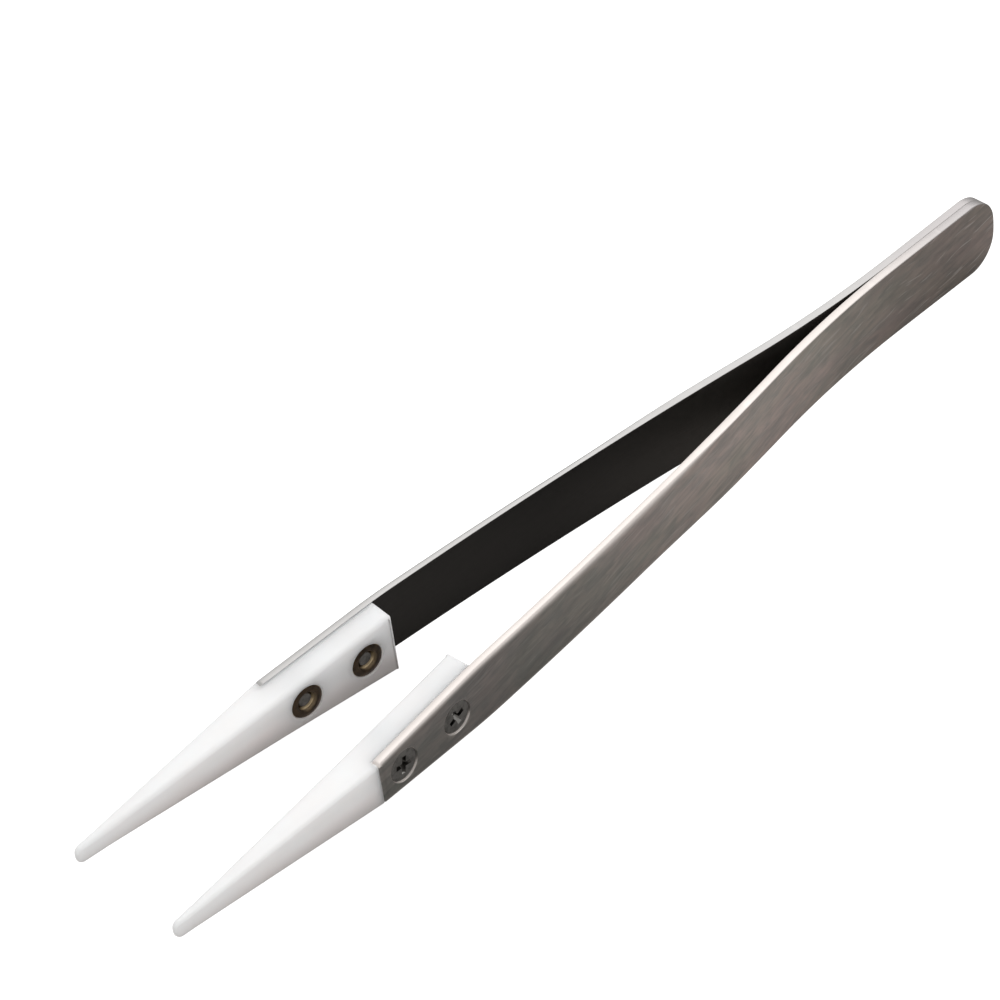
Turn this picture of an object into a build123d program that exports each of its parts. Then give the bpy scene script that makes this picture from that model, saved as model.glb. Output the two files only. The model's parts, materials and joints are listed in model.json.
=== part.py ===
from build123d import *

import os
from math import asin, atan, cos, degrees, radians, sin, sqrt, tan

# Ceramic tipped tweezers lying on their long edges. All sizes are in mm.
# The pieces are drawn in the blade's frame: the tail's end at x = 0, the tips towards +X, the left arm on
# the +Y side, the middle of the blade's width at z = 0. The whole is then turned until its long lower
# edges lie flat, and moved so that the origin is the centre of the bottom of its box.

# Whole object, 130 mm long
ARM_REACH = 104.3  # tail's end to the front end of an arm
TIP_REACH = 25.7  # from there to the ends of the tips

# Arms seen from above
ARM_THICKNESS = 1.0
WELD_LENGTH = 16.5  # here the two arms lie face to face
FLARE_RADIUS = 150.0  # outward bend ahead of the weld
FLARE_ANGLE = 8.3  # degrees, the steepest slope of an arm
FRONT_ANGLE = 4.0  # degrees, slope of the straight front that carries the ceramic
FRONT_STRAIGHT = 16.0

# Blade seen from the side
TAIL_WIDTH = 9.6
TAIL_BULGE = 0.7  # how far the tail's end arc stands out
TAIL_CORNER_RADIUS = 3.4
SHOULDER_SETBACK = 15.3  # the front taper starts this far behind the arm's front end
SHOULDER_WIDTH = 8.0
SHOULDER_RADIUS = 60.0
FRONT_WIDTH = 5.5
FRONT_CORNER_RADIUS = 0.5

# Edges of the arms
EDGE_BREAK = 0.15  # on the whole rim of the outer face
ROUNDING_START = 43.0  # the long outer edges are ground rounder from here
ROUNDING_FULL = 63.0  # to here
ROUNDING_HEIGHT = 1.2  # down the outer face
ROUNDING_DEPTH = 0.5  # into the thickness
ROUNDING_FRONT_HEIGHT = 0.5  # what is left of it at the arm's front end
ROUNDING_STEPS = 5  # sections in the part that grows, and again in the part that shrinks
ROUNDING_OVERCUT = 0.06  # the grinding passes this far outside both faces

# Ceramic tips, along and across the arm's straight front
SEAT_LENGTH = 14.8  # ceramic that lies against the arm
BLOCK_THICKNESS = 2.95
STEP_CLEARANCE = 0.05  # arm's end to the step in the ceramic
STEP_DROP = 0.03  # outer face of the ceramic below that of the arm
CERAMIC_REAR_HEIGHT = 7.9
CERAMIC_STEP_HEIGHT = 5.5
CERAMIC_TIP_HEIGHT = 2.0
CERAMIC_BEND_RADIUS = 60.0  # where the side outline changes its slope
TIP_THICKNESS = 0.72
TIP_CORNER_RADIUS = 0.6
CERAMIC_EDGE_RADIUS = 0.3

# Fasteners, two of each for every tip
REAR_HOLE = 3.6  # from the ceramic's rear end
FRONT_HOLE = 3.3  # from the arm's front end
SCREW_DIAMETER = 2.0
SCREW_HEAD_DIAMETER = 3.8
SCREW_HEAD_RIM = 0.1
SCREW_SUNK = 0.05  # head below the arm's outer face
SCREW_LENGTH = 3.4
FIT_CLEARANCE = 0.03  # radial, between pieces that are screwed or slid together
RECESS_LENGTH = 1.9
RECESS_WIDTH = 0.42
RECESS_DEPTH = 0.55
NUT_FLANGE_DIAMETER = 3.9
NUT_FLANGE_THICKNESS = 0.7
NUT_BARREL_DIAMETER = 2.9
NUT_SUNK = 0.05  # flange below the ceramic's inner face
NUT_SEAT_GAP = 0.3  # end of the barrel to the arm
NUT_MOUTH_CHAMFER = 0.2

TOP = (Align.CENTER, Align.CENTER, Align.MAX)
BOTTOM = (Align.CENTER, Align.CENTER, Align.MIN)

# Course of the left arm's inner face: straight weld, outward bend, long inward bow, straight front
flare = radians(FLARE_ANGLE)
front = radians(FRONT_ANGLE)
flare_end = Vector(WELD_LENGTH + FLARE_RADIUS * sin(flare), FLARE_RADIUS * (1 - cos(flare)))
bow_end_x = ARM_REACH - FRONT_STRAIGHT * cos(front)
bow_radius = (bow_end_x - flare_end.X) / (sin(flare) - sin(front))
bow_end = Vector(bow_end_x, flare_end.Y + bow_radius * (cos(front) - cos(flare)))
arm_end = bow_end + Vector(cos(front), sin(front)) * FRONT_STRAIGHT
flare_centre = Vector(WELD_LENGTH, FLARE_RADIUS)
bow_centre = flare_end + Vector(sin(flare), -cos(flare)) * bow_radius

shoulder_x = ARM_REACH - SHOULDER_SETBACK

# Frame of the seat: X along the straight front from the ceramic's rear end, Y out through the arm
seat_origin = arm_end - Vector(cos(front), sin(front)) * SEAT_LENGTH
seat = Location((seat_origin.X, seat_origin.Y, 0), (0, 0, FRONT_ANGLE))
overall_length = ARM_REACH + TIP_REACH
ceramic_length = (overall_length - seat_origin.X - BLOCK_THICKNESS * sin(front)) / cos(front)
step_start = SEAT_LENGTH + STEP_CLEARANCE

# The long lower edge rises towards the shoulder by this angle, until the whole is turned
rest_angle = degrees(atan((TAIL_WIDTH - SHOULDER_WIDTH) / 2 / (shoulder_x - TAIL_BULGE)))


def arm_slope(x):
    """Slope of the left arm at x, in radians."""
    if x <= WELD_LENGTH:
        return 0.0
    if x <= flare_end.X:
        return asin((x - WELD_LENGTH) / FLARE_RADIUS)
    if x <= bow_end.X:
        return asin(sin(flare) - (x - flare_end.X) / bow_radius)
    return front


def inner_face(x):
    """Distance of the left arm's inner face from the middle plane at x."""
    if x <= WELD_LENGTH:
        return 0.0
    if x <= flare_end.X:
        return FLARE_RADIUS * (1 - cos(arm_slope(x)))
    if x <= bow_end.X:
        return flare_end.Y + bow_radius * (cos(arm_slope(x)) - cos(flare))
    return bow_end.Y + (x - bow_end.X) * tan(front)


def half_width(x):
    """Half of the blade's width at x, without the rounding at the shoulder."""
    if x <= shoulder_x:
        share = (x - TAIL_BULGE) / (shoulder_x - TAIL_BULGE)
        return (TAIL_WIDTH + (SHOULDER_WIDTH - TAIL_WIDTH) * share) / 2
    share = (x - shoulder_x) / (arm_end.X - shoulder_x)
    return (SHOULDER_WIDTH + (FRONT_WIDTH - SHOULDER_WIDTH) * share) / 2


def arm_strip():
    """The bent strip of the left arm, wider than the blade."""
    t = ARM_THICKNESS
    across = Vector(-sin(front), cos(front)) * t
    turn_back = FLARE_ANGLE - FRONT_ANGLE
    course = [
        Line((0, 0), (WELD_LENGTH, 0)),
        CenterArc(flare_centre, FLARE_RADIUS, -90, FLARE_ANGLE),
        CenterArc(bow_centre, bow_radius, 90 + FLARE_ANGLE, -turn_back),
        Line(bow_end, arm_end),
        Line(arm_end, arm_end + across),
        Line(arm_end + across, bow_end + across),
        CenterArc(bow_centre, bow_radius + t, 90 + FRONT_ANGLE, turn_back),
        CenterArc(flare_centre, FLARE_RADIUS - t, FLARE_ANGLE - 90, -FLARE_ANGLE),
        Line((WELD_LENGTH, t), (0, t)),
        Line((0, t), (0, 0)),
    ]
    return extrude(make_face(course), amount=TAIL_WIDTH, both=True)


def blade_side():
    """Side outline of the blade as a flat sketch, its height along Y."""
    tail = TAIL_WIDTH / 2
    shoulder = SHOULDER_WIDTH / 2
    nose = FRONT_WIDTH / 2
    outline = make_face([
        ThreePointArc((TAIL_BULGE, -tail), (0, 0), (TAIL_BULGE, tail)),
        Line((TAIL_BULGE, tail), (shoulder_x, shoulder)),
        Line((shoulder_x, shoulder), (arm_end.X, nose)),
        Line((arm_end.X, nose), (arm_end.X, -nose)),
        Line((arm_end.X, -nose), (shoulder_x, -shoulder)),
        Line((shoulder_x, -shoulder), (TAIL_BULGE, -tail)),
    ])
    outline = fillet(near_x(outline, TAIL_BULGE), TAIL_CORNER_RADIUS)
    outline = fillet(near_x(outline, shoulder_x), SHOULDER_RADIUS)
    return fillet(near_x(outline, arm_end.X), FRONT_CORNER_RADIUS)


def near_x(shape, x):
    """Corners of a flat sketch that lie at x."""
    return shape.vertices().filter_by_position(Axis.X, x - 0.01, x + 0.01)


def rounding_size(x):
    """Height and depth of the ground rounding at x."""
    if x < ROUNDING_FULL:
        share = (x - ROUNDING_START) / (ROUNDING_FULL - ROUNDING_START)
        ease = share * share * (3 - 2 * share)
        return ROUNDING_HEIGHT * ease, ROUNDING_DEPTH * ease
    share = (x - ROUNDING_FULL) / (arm_end.X - ROUNDING_FULL)
    height = ROUNDING_HEIGHT + (ROUNDING_FRONT_HEIGHT - ROUNDING_HEIGHT) * share
    return height, ROUNDING_DEPTH * height / ROUNDING_HEIGHT


def rounding_cutter():
    """What the grinding takes off the long upper outer edge of the left arm."""
    grow = [ROUNDING_START + (ROUNDING_FULL - ROUNDING_START) * i / ROUNDING_STEPS
            for i in range(1, ROUNDING_STEPS)]
    fade = [ROUNDING_FULL + (arm_end.X - ROUNDING_FULL) * i / ROUNDING_STEPS
            for i in range(ROUNDING_STEPS + 1)]
    spare = 2 * ROUNDING_DEPTH
    sections = []
    for x in [ROUNDING_START] + grow + fade:
        height, depth = rounding_size(x)
        height = max(height, ROUNDING_OVERCUT / 2)
        depth = max(depth, ROUNDING_OVERCUT / 2)
        slope = arm_slope(x)
        origin = (x, inner_face(x), 0)
        plane = Plane(origin=origin, x_dir=(-sin(slope), cos(slope), 0), z_dir=(cos(slope), sin(slope), 0))
        across = ARM_THICKNESS - depth + ROUNDING_OVERCUT
        up = half_width(x) - height + ROUNDING_OVERCUT
        low = (across + depth, up)
        high = (across, up + height)
        belly = (across + depth * sqrt(0.5), up + height * sqrt(0.5))
        section = make_face([
            ThreePointArc(low, belly, high),
            Line(high, (high[0], high[1] + spare)),
            Line((high[0], high[1] + spare), (low[0] + spare, high[1] + spare)),
            Line((low[0] + spare, high[1] + spare), (low[0] + spare, low[1])),
            Line((low[0] + spare, low[1]), low),
        ])
        sections.append(plane * section)
    return loft(sections)


def screw_stock(grow):
    """Screw about Z with the top of its head at z = 0, grown by a radial clearance."""
    head = SCREW_HEAD_DIAMETER / 2 + grow
    shank = SCREW_DIAMETER / 2 + grow
    rim = Cylinder(head, SCREW_HEAD_RIM, align=TOP)
    cone = Pos(0, 0, -SCREW_HEAD_RIM) * Cone(shank, head, head - shank, align=TOP)
    return rim + cone + Cylinder(shank, SCREW_LENGTH, align=TOP)


def make_screw():
    """Countersunk screw with a cross recess."""
    slot = Box(RECESS_LENGTH, RECESS_WIDTH, RECESS_DEPTH, align=TOP)
    return screw_stock(0) - slot - Rot(Z=90) * slot


def make_nut():
    """Sleeve nut about Z with its flange's outer face at z = 0."""
    barrel_length = BLOCK_THICKNESS - NUT_SUNK - NUT_FLANGE_THICKNESS - NUT_SEAT_GAP
    flange = Cylinder(NUT_FLANGE_DIAMETER / 2, NUT_FLANGE_THICKNESS, align=TOP)
    barrel = Cylinder(NUT_BARREL_DIAMETER / 2, barrel_length, align=TOP)
    bore_radius = SCREW_DIAMETER / 2 + FIT_CLEARANCE
    bore = Cylinder(bore_radius, 2 * BLOCK_THICKNESS)
    mouth = Cone(bore_radius, bore_radius + NUT_MOUTH_CHAMFER, NUT_MOUTH_CHAMFER, align=TOP)
    return flange + Pos(0, 0, -NUT_FLANGE_THICKNESS) * barrel - bore - mouth


def hole_places():
    """Distances of the two holes from the ceramic's rear end, by name."""
    return {"rear": REAR_HOLE, "front": SEAT_LENGTH - FRONT_HOLE}


def screw_place(distance):
    """Where a screw's head lies, its axis out through the arm."""
    return seat * Pos(distance, ARM_THICKNESS - SCREW_SUNK, 0) * Rot(X=-90)


def nut_place(distance):
    """Where a nut's flange lies, its axis in through the ceramic."""
    return seat * Pos(distance, NUT_SUNK - BLOCK_THICKNESS, 0) * Rot(X=90)


def make_arm():
    """Left arm with its dressed edges and its two countersunk holes."""
    blank = arm_strip() & extrude(Plane.XZ * blade_side(), amount=overall_length, both=True)
    rim = [edge for edge in blank.edges() if on_outer_rim(edge)]
    arm = fillet(rim, EDGE_BREAK)
    cutter = rounding_cutter()
    arm = arm - cutter - mirror(cutter, about=Plane.XY)
    mouth = Cylinder(SCREW_HEAD_DIAMETER / 2 + FIT_CLEARANCE, ARM_THICKNESS, align=BOTTOM)
    hole = screw_stock(FIT_CLEARANCE) + mouth
    for distance in hole_places().values():
        arm -= screw_place(distance) * hole
    return arm


def on_outer_rim(edge):
    """Whether an edge of the blank runs round its outer face."""
    middle = edge @ 0.5
    ends = [edge @ 0, edge @ 1]
    across = (edge % 0.5).Z
    outer = all(outer_distance(point) < 0.01 for point in ends + [middle])
    return outer and not (abs(across) > 0.999 and 0.5 < middle.X < arm_end.X - 1.5 * ARM_THICKNESS)


def outer_distance(point):
    """Distance of a point from the left arm's outer face, seen from above."""
    x = point.X
    for _ in range(3):
        x = point.X + ARM_THICKNESS * sin(arm_slope(x))
    slope = arm_slope(x)
    return abs(point.Y - inner_face(x) - ARM_THICKNESS * cos(slope))


def make_ceramic():
    """Left ceramic tip in the seat's frame: block, step, tapered tip and two stepped holes."""
    block = -BLOCK_THICKNESS
    outer = ARM_THICKNESS - STEP_DROP
    plan = make_face(Polyline([
        (0, 0), (0, block), (ceramic_length, block), (ceramic_length, block + TIP_THICKNESS),
        (step_start, outer), (step_start, 0), (0, 0),
    ]))
    stock = extrude(plan, amount=CERAMIC_REAR_HEIGHT, both=True)
    rear = CERAMIC_REAR_HEIGHT / 2
    step = CERAMIC_STEP_HEIGHT / 2
    tip = CERAMIC_TIP_HEIGHT / 2
    side = make_face(Polyline([
        (0, -rear), (0, rear), (SEAT_LENGTH, step), (ceramic_length, tip),
        (ceramic_length, -tip), (SEAT_LENGTH, -step), (0, -rear),
    ]))
    side = fillet(near_x(side, SEAT_LENGTH), CERAMIC_BEND_RADIUS)
    side = fillet(near_x(side, ceramic_length), TIP_CORNER_RADIUS)
    shape = stock & extrude(Plane.XZ * side, amount=overall_length, both=True)
    inner = shape.faces().sort_by(Axis.Y)[0]
    outer_face = [face for face in shape.faces() if is_front_outer(face)][0]
    sharp = [edge for edge in outer_face.edges() if (edge @ 0.5).X < step_start + 0.01]
    rims = inner.edges() + [edge for edge in outer_face.edges() if edge not in sharp]
    rear_face = shape.faces().sort_by(Axis.X)[0]
    rims += [edge for edge in rear_face.edges() if abs((edge % 0.5).Y) > 0.9]
    shape = fillet(rims, CERAMIC_EDGE_RADIUS)
    bore_depth = BLOCK_THICKNESS + 1
    bore = Cylinder(NUT_BARREL_DIAMETER / 2 + FIT_CLEARANCE, bore_depth, align=TOP)
    counterbore = Cylinder(NUT_FLANGE_DIAMETER / 2 + FIT_CLEARANCE, NUT_FLANGE_THICKNESS, align=TOP)
    entry = Cylinder(NUT_FLANGE_DIAMETER / 2 + FIT_CLEARANCE, NUT_SUNK + 1, align=BOTTOM)
    for distance in hole_places().values():
        place = seat.inverse() * nut_place(distance)
        shape -= place * (bore + counterbore + entry)
    return seat * shape


def is_front_outer(face):
    """Whether a face is the outer face of the ceramic ahead of the step."""
    normal = face.normal_at()
    return normal.Y > 0.9 and face.center().X > step_start


def left_half():
    """Every piece of the left half, by name."""
    pieces = {"arm": make_arm(), "ceramic_tip": make_ceramic()}
    for name, distance in hole_places().items():
        pieces[name + "_screw"] = screw_place(distance) * make_screw()
        pieces[name + "_nut"] = nut_place(distance) * make_nut()
    return pieces


def assemble():
    """All pieces by name, turned to lie flat and moved to the origin."""
    pieces = {}
    for name, piece in left_half().items():
        pieces["left_" + name] = Rot(Y=rest_angle) * piece
        pieces["right_" + name] = Rot(Y=rest_angle) * mirror(piece, about=Plane.XZ)
    boxes = [piece.bounding_box() for piece in pieces.values()]
    rear = min(box.min.X for box in boxes)
    ahead = max(box.max.X for box in boxes)
    shift = Pos(-(rear + ahead) / 2, 0, -min(box.min.Z for box in boxes))
    return {name: shift * piece for name, piece in pieces.items()}


os.makedirs("parts", exist_ok=True)
for node, solid in assemble().items():
    export_step(solid, "parts/" + node + ".step")
    print(node, round(solid.volume, 3))
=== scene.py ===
import json
import logging
import math
from collections.abc import Callable
from dataclasses import dataclass, field
from enum import Enum

import bmesh
import bpy
from mathutils import Matrix, Vector

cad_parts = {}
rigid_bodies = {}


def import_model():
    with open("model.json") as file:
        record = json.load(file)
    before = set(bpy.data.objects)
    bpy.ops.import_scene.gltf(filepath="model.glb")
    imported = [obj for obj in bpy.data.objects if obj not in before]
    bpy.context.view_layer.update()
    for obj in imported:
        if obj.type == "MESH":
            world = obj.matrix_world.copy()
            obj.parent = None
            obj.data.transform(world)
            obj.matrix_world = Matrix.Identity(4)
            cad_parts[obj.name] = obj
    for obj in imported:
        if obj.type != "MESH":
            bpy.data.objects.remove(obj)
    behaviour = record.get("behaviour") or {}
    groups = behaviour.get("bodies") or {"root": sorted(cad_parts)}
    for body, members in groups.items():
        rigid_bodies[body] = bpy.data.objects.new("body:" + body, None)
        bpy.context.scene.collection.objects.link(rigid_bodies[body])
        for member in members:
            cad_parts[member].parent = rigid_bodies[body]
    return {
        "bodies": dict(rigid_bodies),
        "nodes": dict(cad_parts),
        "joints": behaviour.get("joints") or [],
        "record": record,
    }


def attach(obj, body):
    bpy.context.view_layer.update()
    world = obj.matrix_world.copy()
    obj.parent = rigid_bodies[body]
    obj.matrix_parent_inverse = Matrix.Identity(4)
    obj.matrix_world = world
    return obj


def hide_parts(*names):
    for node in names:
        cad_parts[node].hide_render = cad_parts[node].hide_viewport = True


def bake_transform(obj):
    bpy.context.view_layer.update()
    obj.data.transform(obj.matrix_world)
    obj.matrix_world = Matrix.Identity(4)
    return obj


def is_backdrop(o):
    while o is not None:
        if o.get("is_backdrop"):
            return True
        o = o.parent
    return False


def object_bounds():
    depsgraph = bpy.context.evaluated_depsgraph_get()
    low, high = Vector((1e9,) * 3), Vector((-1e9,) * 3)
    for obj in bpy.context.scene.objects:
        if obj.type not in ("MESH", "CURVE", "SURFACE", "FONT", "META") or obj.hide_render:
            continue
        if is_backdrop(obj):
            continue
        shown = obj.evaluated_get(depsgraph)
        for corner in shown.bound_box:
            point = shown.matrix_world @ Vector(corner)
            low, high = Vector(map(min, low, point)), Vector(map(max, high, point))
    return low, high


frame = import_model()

LOG = logging.getLogger("tweezers")
MM = 0.001


class Side(Enum):
    """Half of the tweezers, by the sign of its Y."""

    LEFT = 1
    RIGHT = -1

    @property
    def word(self) -> str:
        """First word of the names of this side's pieces."""
        return self.name.lower()


@dataclass(frozen=True)
class Blade:
    """Course and side outline of an arm in the blade's frame, in mm.

    The tail's end is at x = 0, the middle plane at y = 0 and the middle of the width at z = 0.
    """

    reach: float = 104.3
    thickness: float = 1.0
    weld: float = 16.5
    flare_radius: float = 150.0
    flare: float = math.radians(8.3)
    front: float = math.radians(4.0)
    straight: float = 16.0
    tail_width: float = 9.6
    tail_bulge: float = 0.7
    tail_corner: float = 3.95
    shoulder_x: float = 89.0
    shoulder_width: float = 8.0
    shoulder_radius: float = 60.0
    front_width: float = 5.5
    front_corner: float = 0.5
    rest_angle: float = math.radians(0.5190869)
    shift_x: float = -64.98889
    shift_z: float = 4.80614

    @property
    def flare_end(self) -> tuple[float, float]:
        """Where the outward bend ends, seen from above."""
        return (self.weld + self.flare_radius * math.sin(self.flare),
                self.flare_radius * (1 - math.cos(self.flare)))

    @property
    def bow_end_x(self) -> float:
        """Where the long bow runs into the straight front."""
        return self.reach - self.straight * math.cos(self.front)

    @property
    def bow_radius(self) -> float:
        """Radius of the long inward bow."""
        return (self.bow_end_x - self.flare_end[0]) / (math.sin(self.flare) - math.sin(self.front))

    def slope(self, x: float) -> float:
        """Slope of the left arm.

        Args:
            x: Where along the inner face.

        Returns:
            The slope in radians.
        """
        if x <= self.weld:
            return 0.0
        if x <= self.flare_end[0]:
            return math.asin((x - self.weld) / self.flare_radius)
        if x <= self.bow_end_x:
            return math.asin(math.sin(self.flare) - (x - self.flare_end[0]) / self.bow_radius)
        return self.front

    def inner(self, x: float) -> float:
        """Place of the left arm's inner face.

        Args:
            x: Where along it.

        Returns:
            Its distance from the middle plane.
        """
        if x <= self.weld:
            return 0.0
        if x <= self.flare_end[0]:
            return self.flare_radius * (1 - math.cos(self.slope(x)))
        rise = self.bow_radius * (math.cos(self.slope(x)) - math.cos(self.flare))
        if x <= self.bow_end_x:
            return self.flare_end[1] + rise
        end = self.flare_end[1] + self.bow_radius * (math.cos(self.front) - math.cos(self.flare))
        return end + (x - self.bow_end_x) * math.tan(self.front)

    def on_arm(self, x: float, depth: float, z: float) -> Vector:
        """Point of the left arm.

        Args:
            x: Where along the inner face.
            depth: Distance out from the inner face.
            z: Height from the middle of the width.

        Returns:
            The point in the object's frame, in metres.
        """
        slope = self.slope(x)
        y = self.inner(x) + depth * math.cos(slope)
        return self.placed(Vector((x - depth * math.sin(slope), y, z)))

    def placed(self, point: Vector) -> Vector:
        """Turns a point to lie flat and moves it to the object's frame.

        Args:
            point: It in the blade's frame, in mm.

        Returns:
            It in the object's frame, in metres.
        """
        c = math.cos(self.rest_angle)
        s = math.sin(self.rest_angle)
        x = point.x * c + point.z * s + self.shift_x
        z = -point.x * s + point.z * c + self.shift_z
        return Vector((x, point.y, z)) * MM


@dataclass(frozen=True)
class Seat:
    """Frame of the straight front that carries a ceramic: along it, out through the arm, and up."""

    blade: Blade = Blade()
    length: float = 14.8
    rear_hole: float = 3.6
    front_hole: float = 3.3

    @property
    def holes(self) -> dict[str, float]:
        """Distances of the two holes from the ceramic's rear end, by name."""
        return {"rear": self.rear_hole, "front": self.length - self.front_hole}

    def point(self, along: float, out: float, z: float) -> Vector:
        """Point of the seat's frame.

        Args:
            along: Distance from the ceramic's rear end.
            out: Distance out from the arm's inner face.
            z: Height from the middle of the width.

        Returns:
            It in the object's frame, in metres.
        """
        blade = self.blade
        c = math.cos(blade.front)
        s = math.sin(blade.front)
        x = blade.reach - self.length * c
        y = blade.inner(blade.reach) - self.length * s
        return blade.placed(Vector((x + along * c - out * s, y + along * s + out * c, z)))


class Skin:
    """Points and faces of one mesh while it is built, in the object's frame and in metres."""

    def __init__(self) -> None:
        """Starts with nothing in it."""
        self.points: list[Vector] = []
        self.faces: list[tuple[int, ...]] = []

    def row(self, points: list[Vector]) -> list[int]:
        """Adds points.

        Args:
            points: Where they are.

        Returns:
            Their numbers.
        """
        start = len(self.points)
        self.points.extend(points)
        return list(range(start, len(self.points)))

    def band(self, low: list[int], high: list[int], closed: bool = True) -> None:
        """Joins two rows of as many points by four-sided faces.

        Args:
            low: Numbers of the first row.
            high: Numbers of the second row.
            closed: Whether the rows run round and close.
        """
        count = len(low)
        for i in range(count if closed else count - 1):
            j = (i + 1) % count
            self.faces.append((low[i], low[j], high[j], high[i]))

    def fan(self, row: list[int], middle: Vector, turned: bool) -> None:
        """Closes a row with triangles round a middle point.

        Args:
            row: Numbers of the closed row.
            middle: The point that the triangles meet in.
            turned: Whether the triangles run the other way round.
        """
        hub = self.row([middle])[0]
        for i, number in enumerate(row):
            after = row[(i + 1) % len(row)]
            self.faces.append((after, number, hub) if turned else (number, after, hub))

    def wrap(self, half: list["Edge"], layers: Callable[["Edge"], list[tuple[float, float]]],
             point: Callable[[float, float, float], Vector], lanes: int) -> None:
        """Builds a flat body up in layers between its two broad faces.

        Args:
            half: Upper half of its side outline, from one end's middle to the other's.
            layers: Gives the insets and heights of the layers at a point of the outline.
            point: Gives the place of a point from its length, height out and width.
            lanes: How many strips a broad face has across.
        """
        loop = half + [Edge(e.x, -e.z, e.in_x, -e.in_z) for e in reversed(half[1:-1])]
        levels = [layers(spot) for spot in loop]
        rows = []
        for k in range(len(levels[0])):
            rows.append(self.row([
                point(spot.x + spot.in_x * level[k][0], level[k][1], spot.z + spot.in_z * level[k][0])
                for spot, level in zip(loop, levels)
            ]))
        for low, high in zip(rows, rows[1:]):
            self.band(low, high)
        self.fill(rows[0], len(half), lanes)
        self.fill(rows[-1], len(half), lanes)

    def fill(self, row: list[int], count: int, lanes: int) -> None:
        """Fills a face between the upper and the lower half of its border.

        Args:
            row: The border, its upper half first.
            count: Points of the upper half, with both ends.
            lanes: How many strips the face has across.
        """
        upper = row[:count]
        lower = [row[0]] + [row[-i] for i in range(1, count - 1)] + [row[count - 1]]
        strips = []
        for top, bottom in zip(upper[1:-1], lower[1:-1]):
            high = self.points[top]
            low = self.points[bottom]
            between = [high.lerp(low, i / lanes) for i in range(1, lanes)]
            strips.append([top] + self.row(between) + [bottom])
        for first, second in zip(strips, strips[1:]):
            self.band(first, second, closed=False)
        for i in range(lanes):
            self.faces.append((upper[0], strips[0][i], strips[0][i + 1]))
            self.faces.append((upper[-1], strips[-1][i + 1], strips[-1][i]))

    def piece(self, name: str) -> bpy.types.Object:
        """Makes the object, with its faces turned outwards.

        Args:
            name: Its name.

        Returns:
            The object.
        """
        mesh = bpy.data.meshes.new(name)
        mesh.from_pydata([tuple(p) for p in self.points], [], self.faces)
        shape = bmesh.new()
        shape.from_mesh(mesh)
        bmesh.ops.recalc_face_normals(shape, faces=shape.faces)
        shape.to_mesh(mesh)
        shape.free()
        solid = bpy.data.objects.new(name, mesh)
        bpy.context.scene.collection.objects.link(solid)
        return solid


def cut(solid: bpy.types.Object, tools: list[bpy.types.Object]) -> None:
    """Takes the shapes of some tools off a solid, worked out in mm, and removes the tools.

    Args:
        solid: The piece that is cut.
        tools: Closed shapes.
    """
    grown = Matrix.Scale(1 / MM, 4)
    solid.data.transform(grown)
    for tool in tools:
        tool.data.transform(grown)
        step = solid.modifiers.new("cut", "BOOLEAN")
        step.operation = "DIFFERENCE"
        step.solver = "MANIFOLD"
        step.object = tool
    graph = bpy.context.evaluated_depsgraph_get()
    fresh = bpy.data.meshes.new_from_object(solid.evaluated_get(graph))
    fresh.transform(Matrix.Scale(MM, 4))
    solid.modifiers.clear()
    stale = solid.data
    solid.data = fresh
    bpy.data.meshes.remove(stale)
    for tool in tools:
        mesh = tool.data
        bpy.data.objects.remove(tool)
        bpy.data.meshes.remove(mesh)


def dress(solid: bpy.types.Object, finish: "Finish", crease: float = 32.0) -> None:
    """Gives a piece its finish and its smooth shading.

    Args:
        solid: The piece.
        finish: What its surface is made of.
        crease: Edges steeper than this many degrees stay sharp.
    """
    solid.data.materials.clear()
    solid.data.materials.append(finish.material())
    solid.data.shade_smooth()
    solid.data.set_sharp_from_angle(angle=math.radians(crease))


def mirrored(solid: bpy.types.Object, side: Side) -> bpy.types.Object:
    """Moves a left piece to its side, mirrored in the middle plane for the right one.

    Args:
        solid: The piece.
        side: Where it belongs.

    Returns:
        The same piece.
    """
    if side is Side.RIGHT:
        solid.data.transform(Matrix.Scale(-1, 4, (0, 1, 0)))
        solid.data.flip_normals()
    return solid


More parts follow.
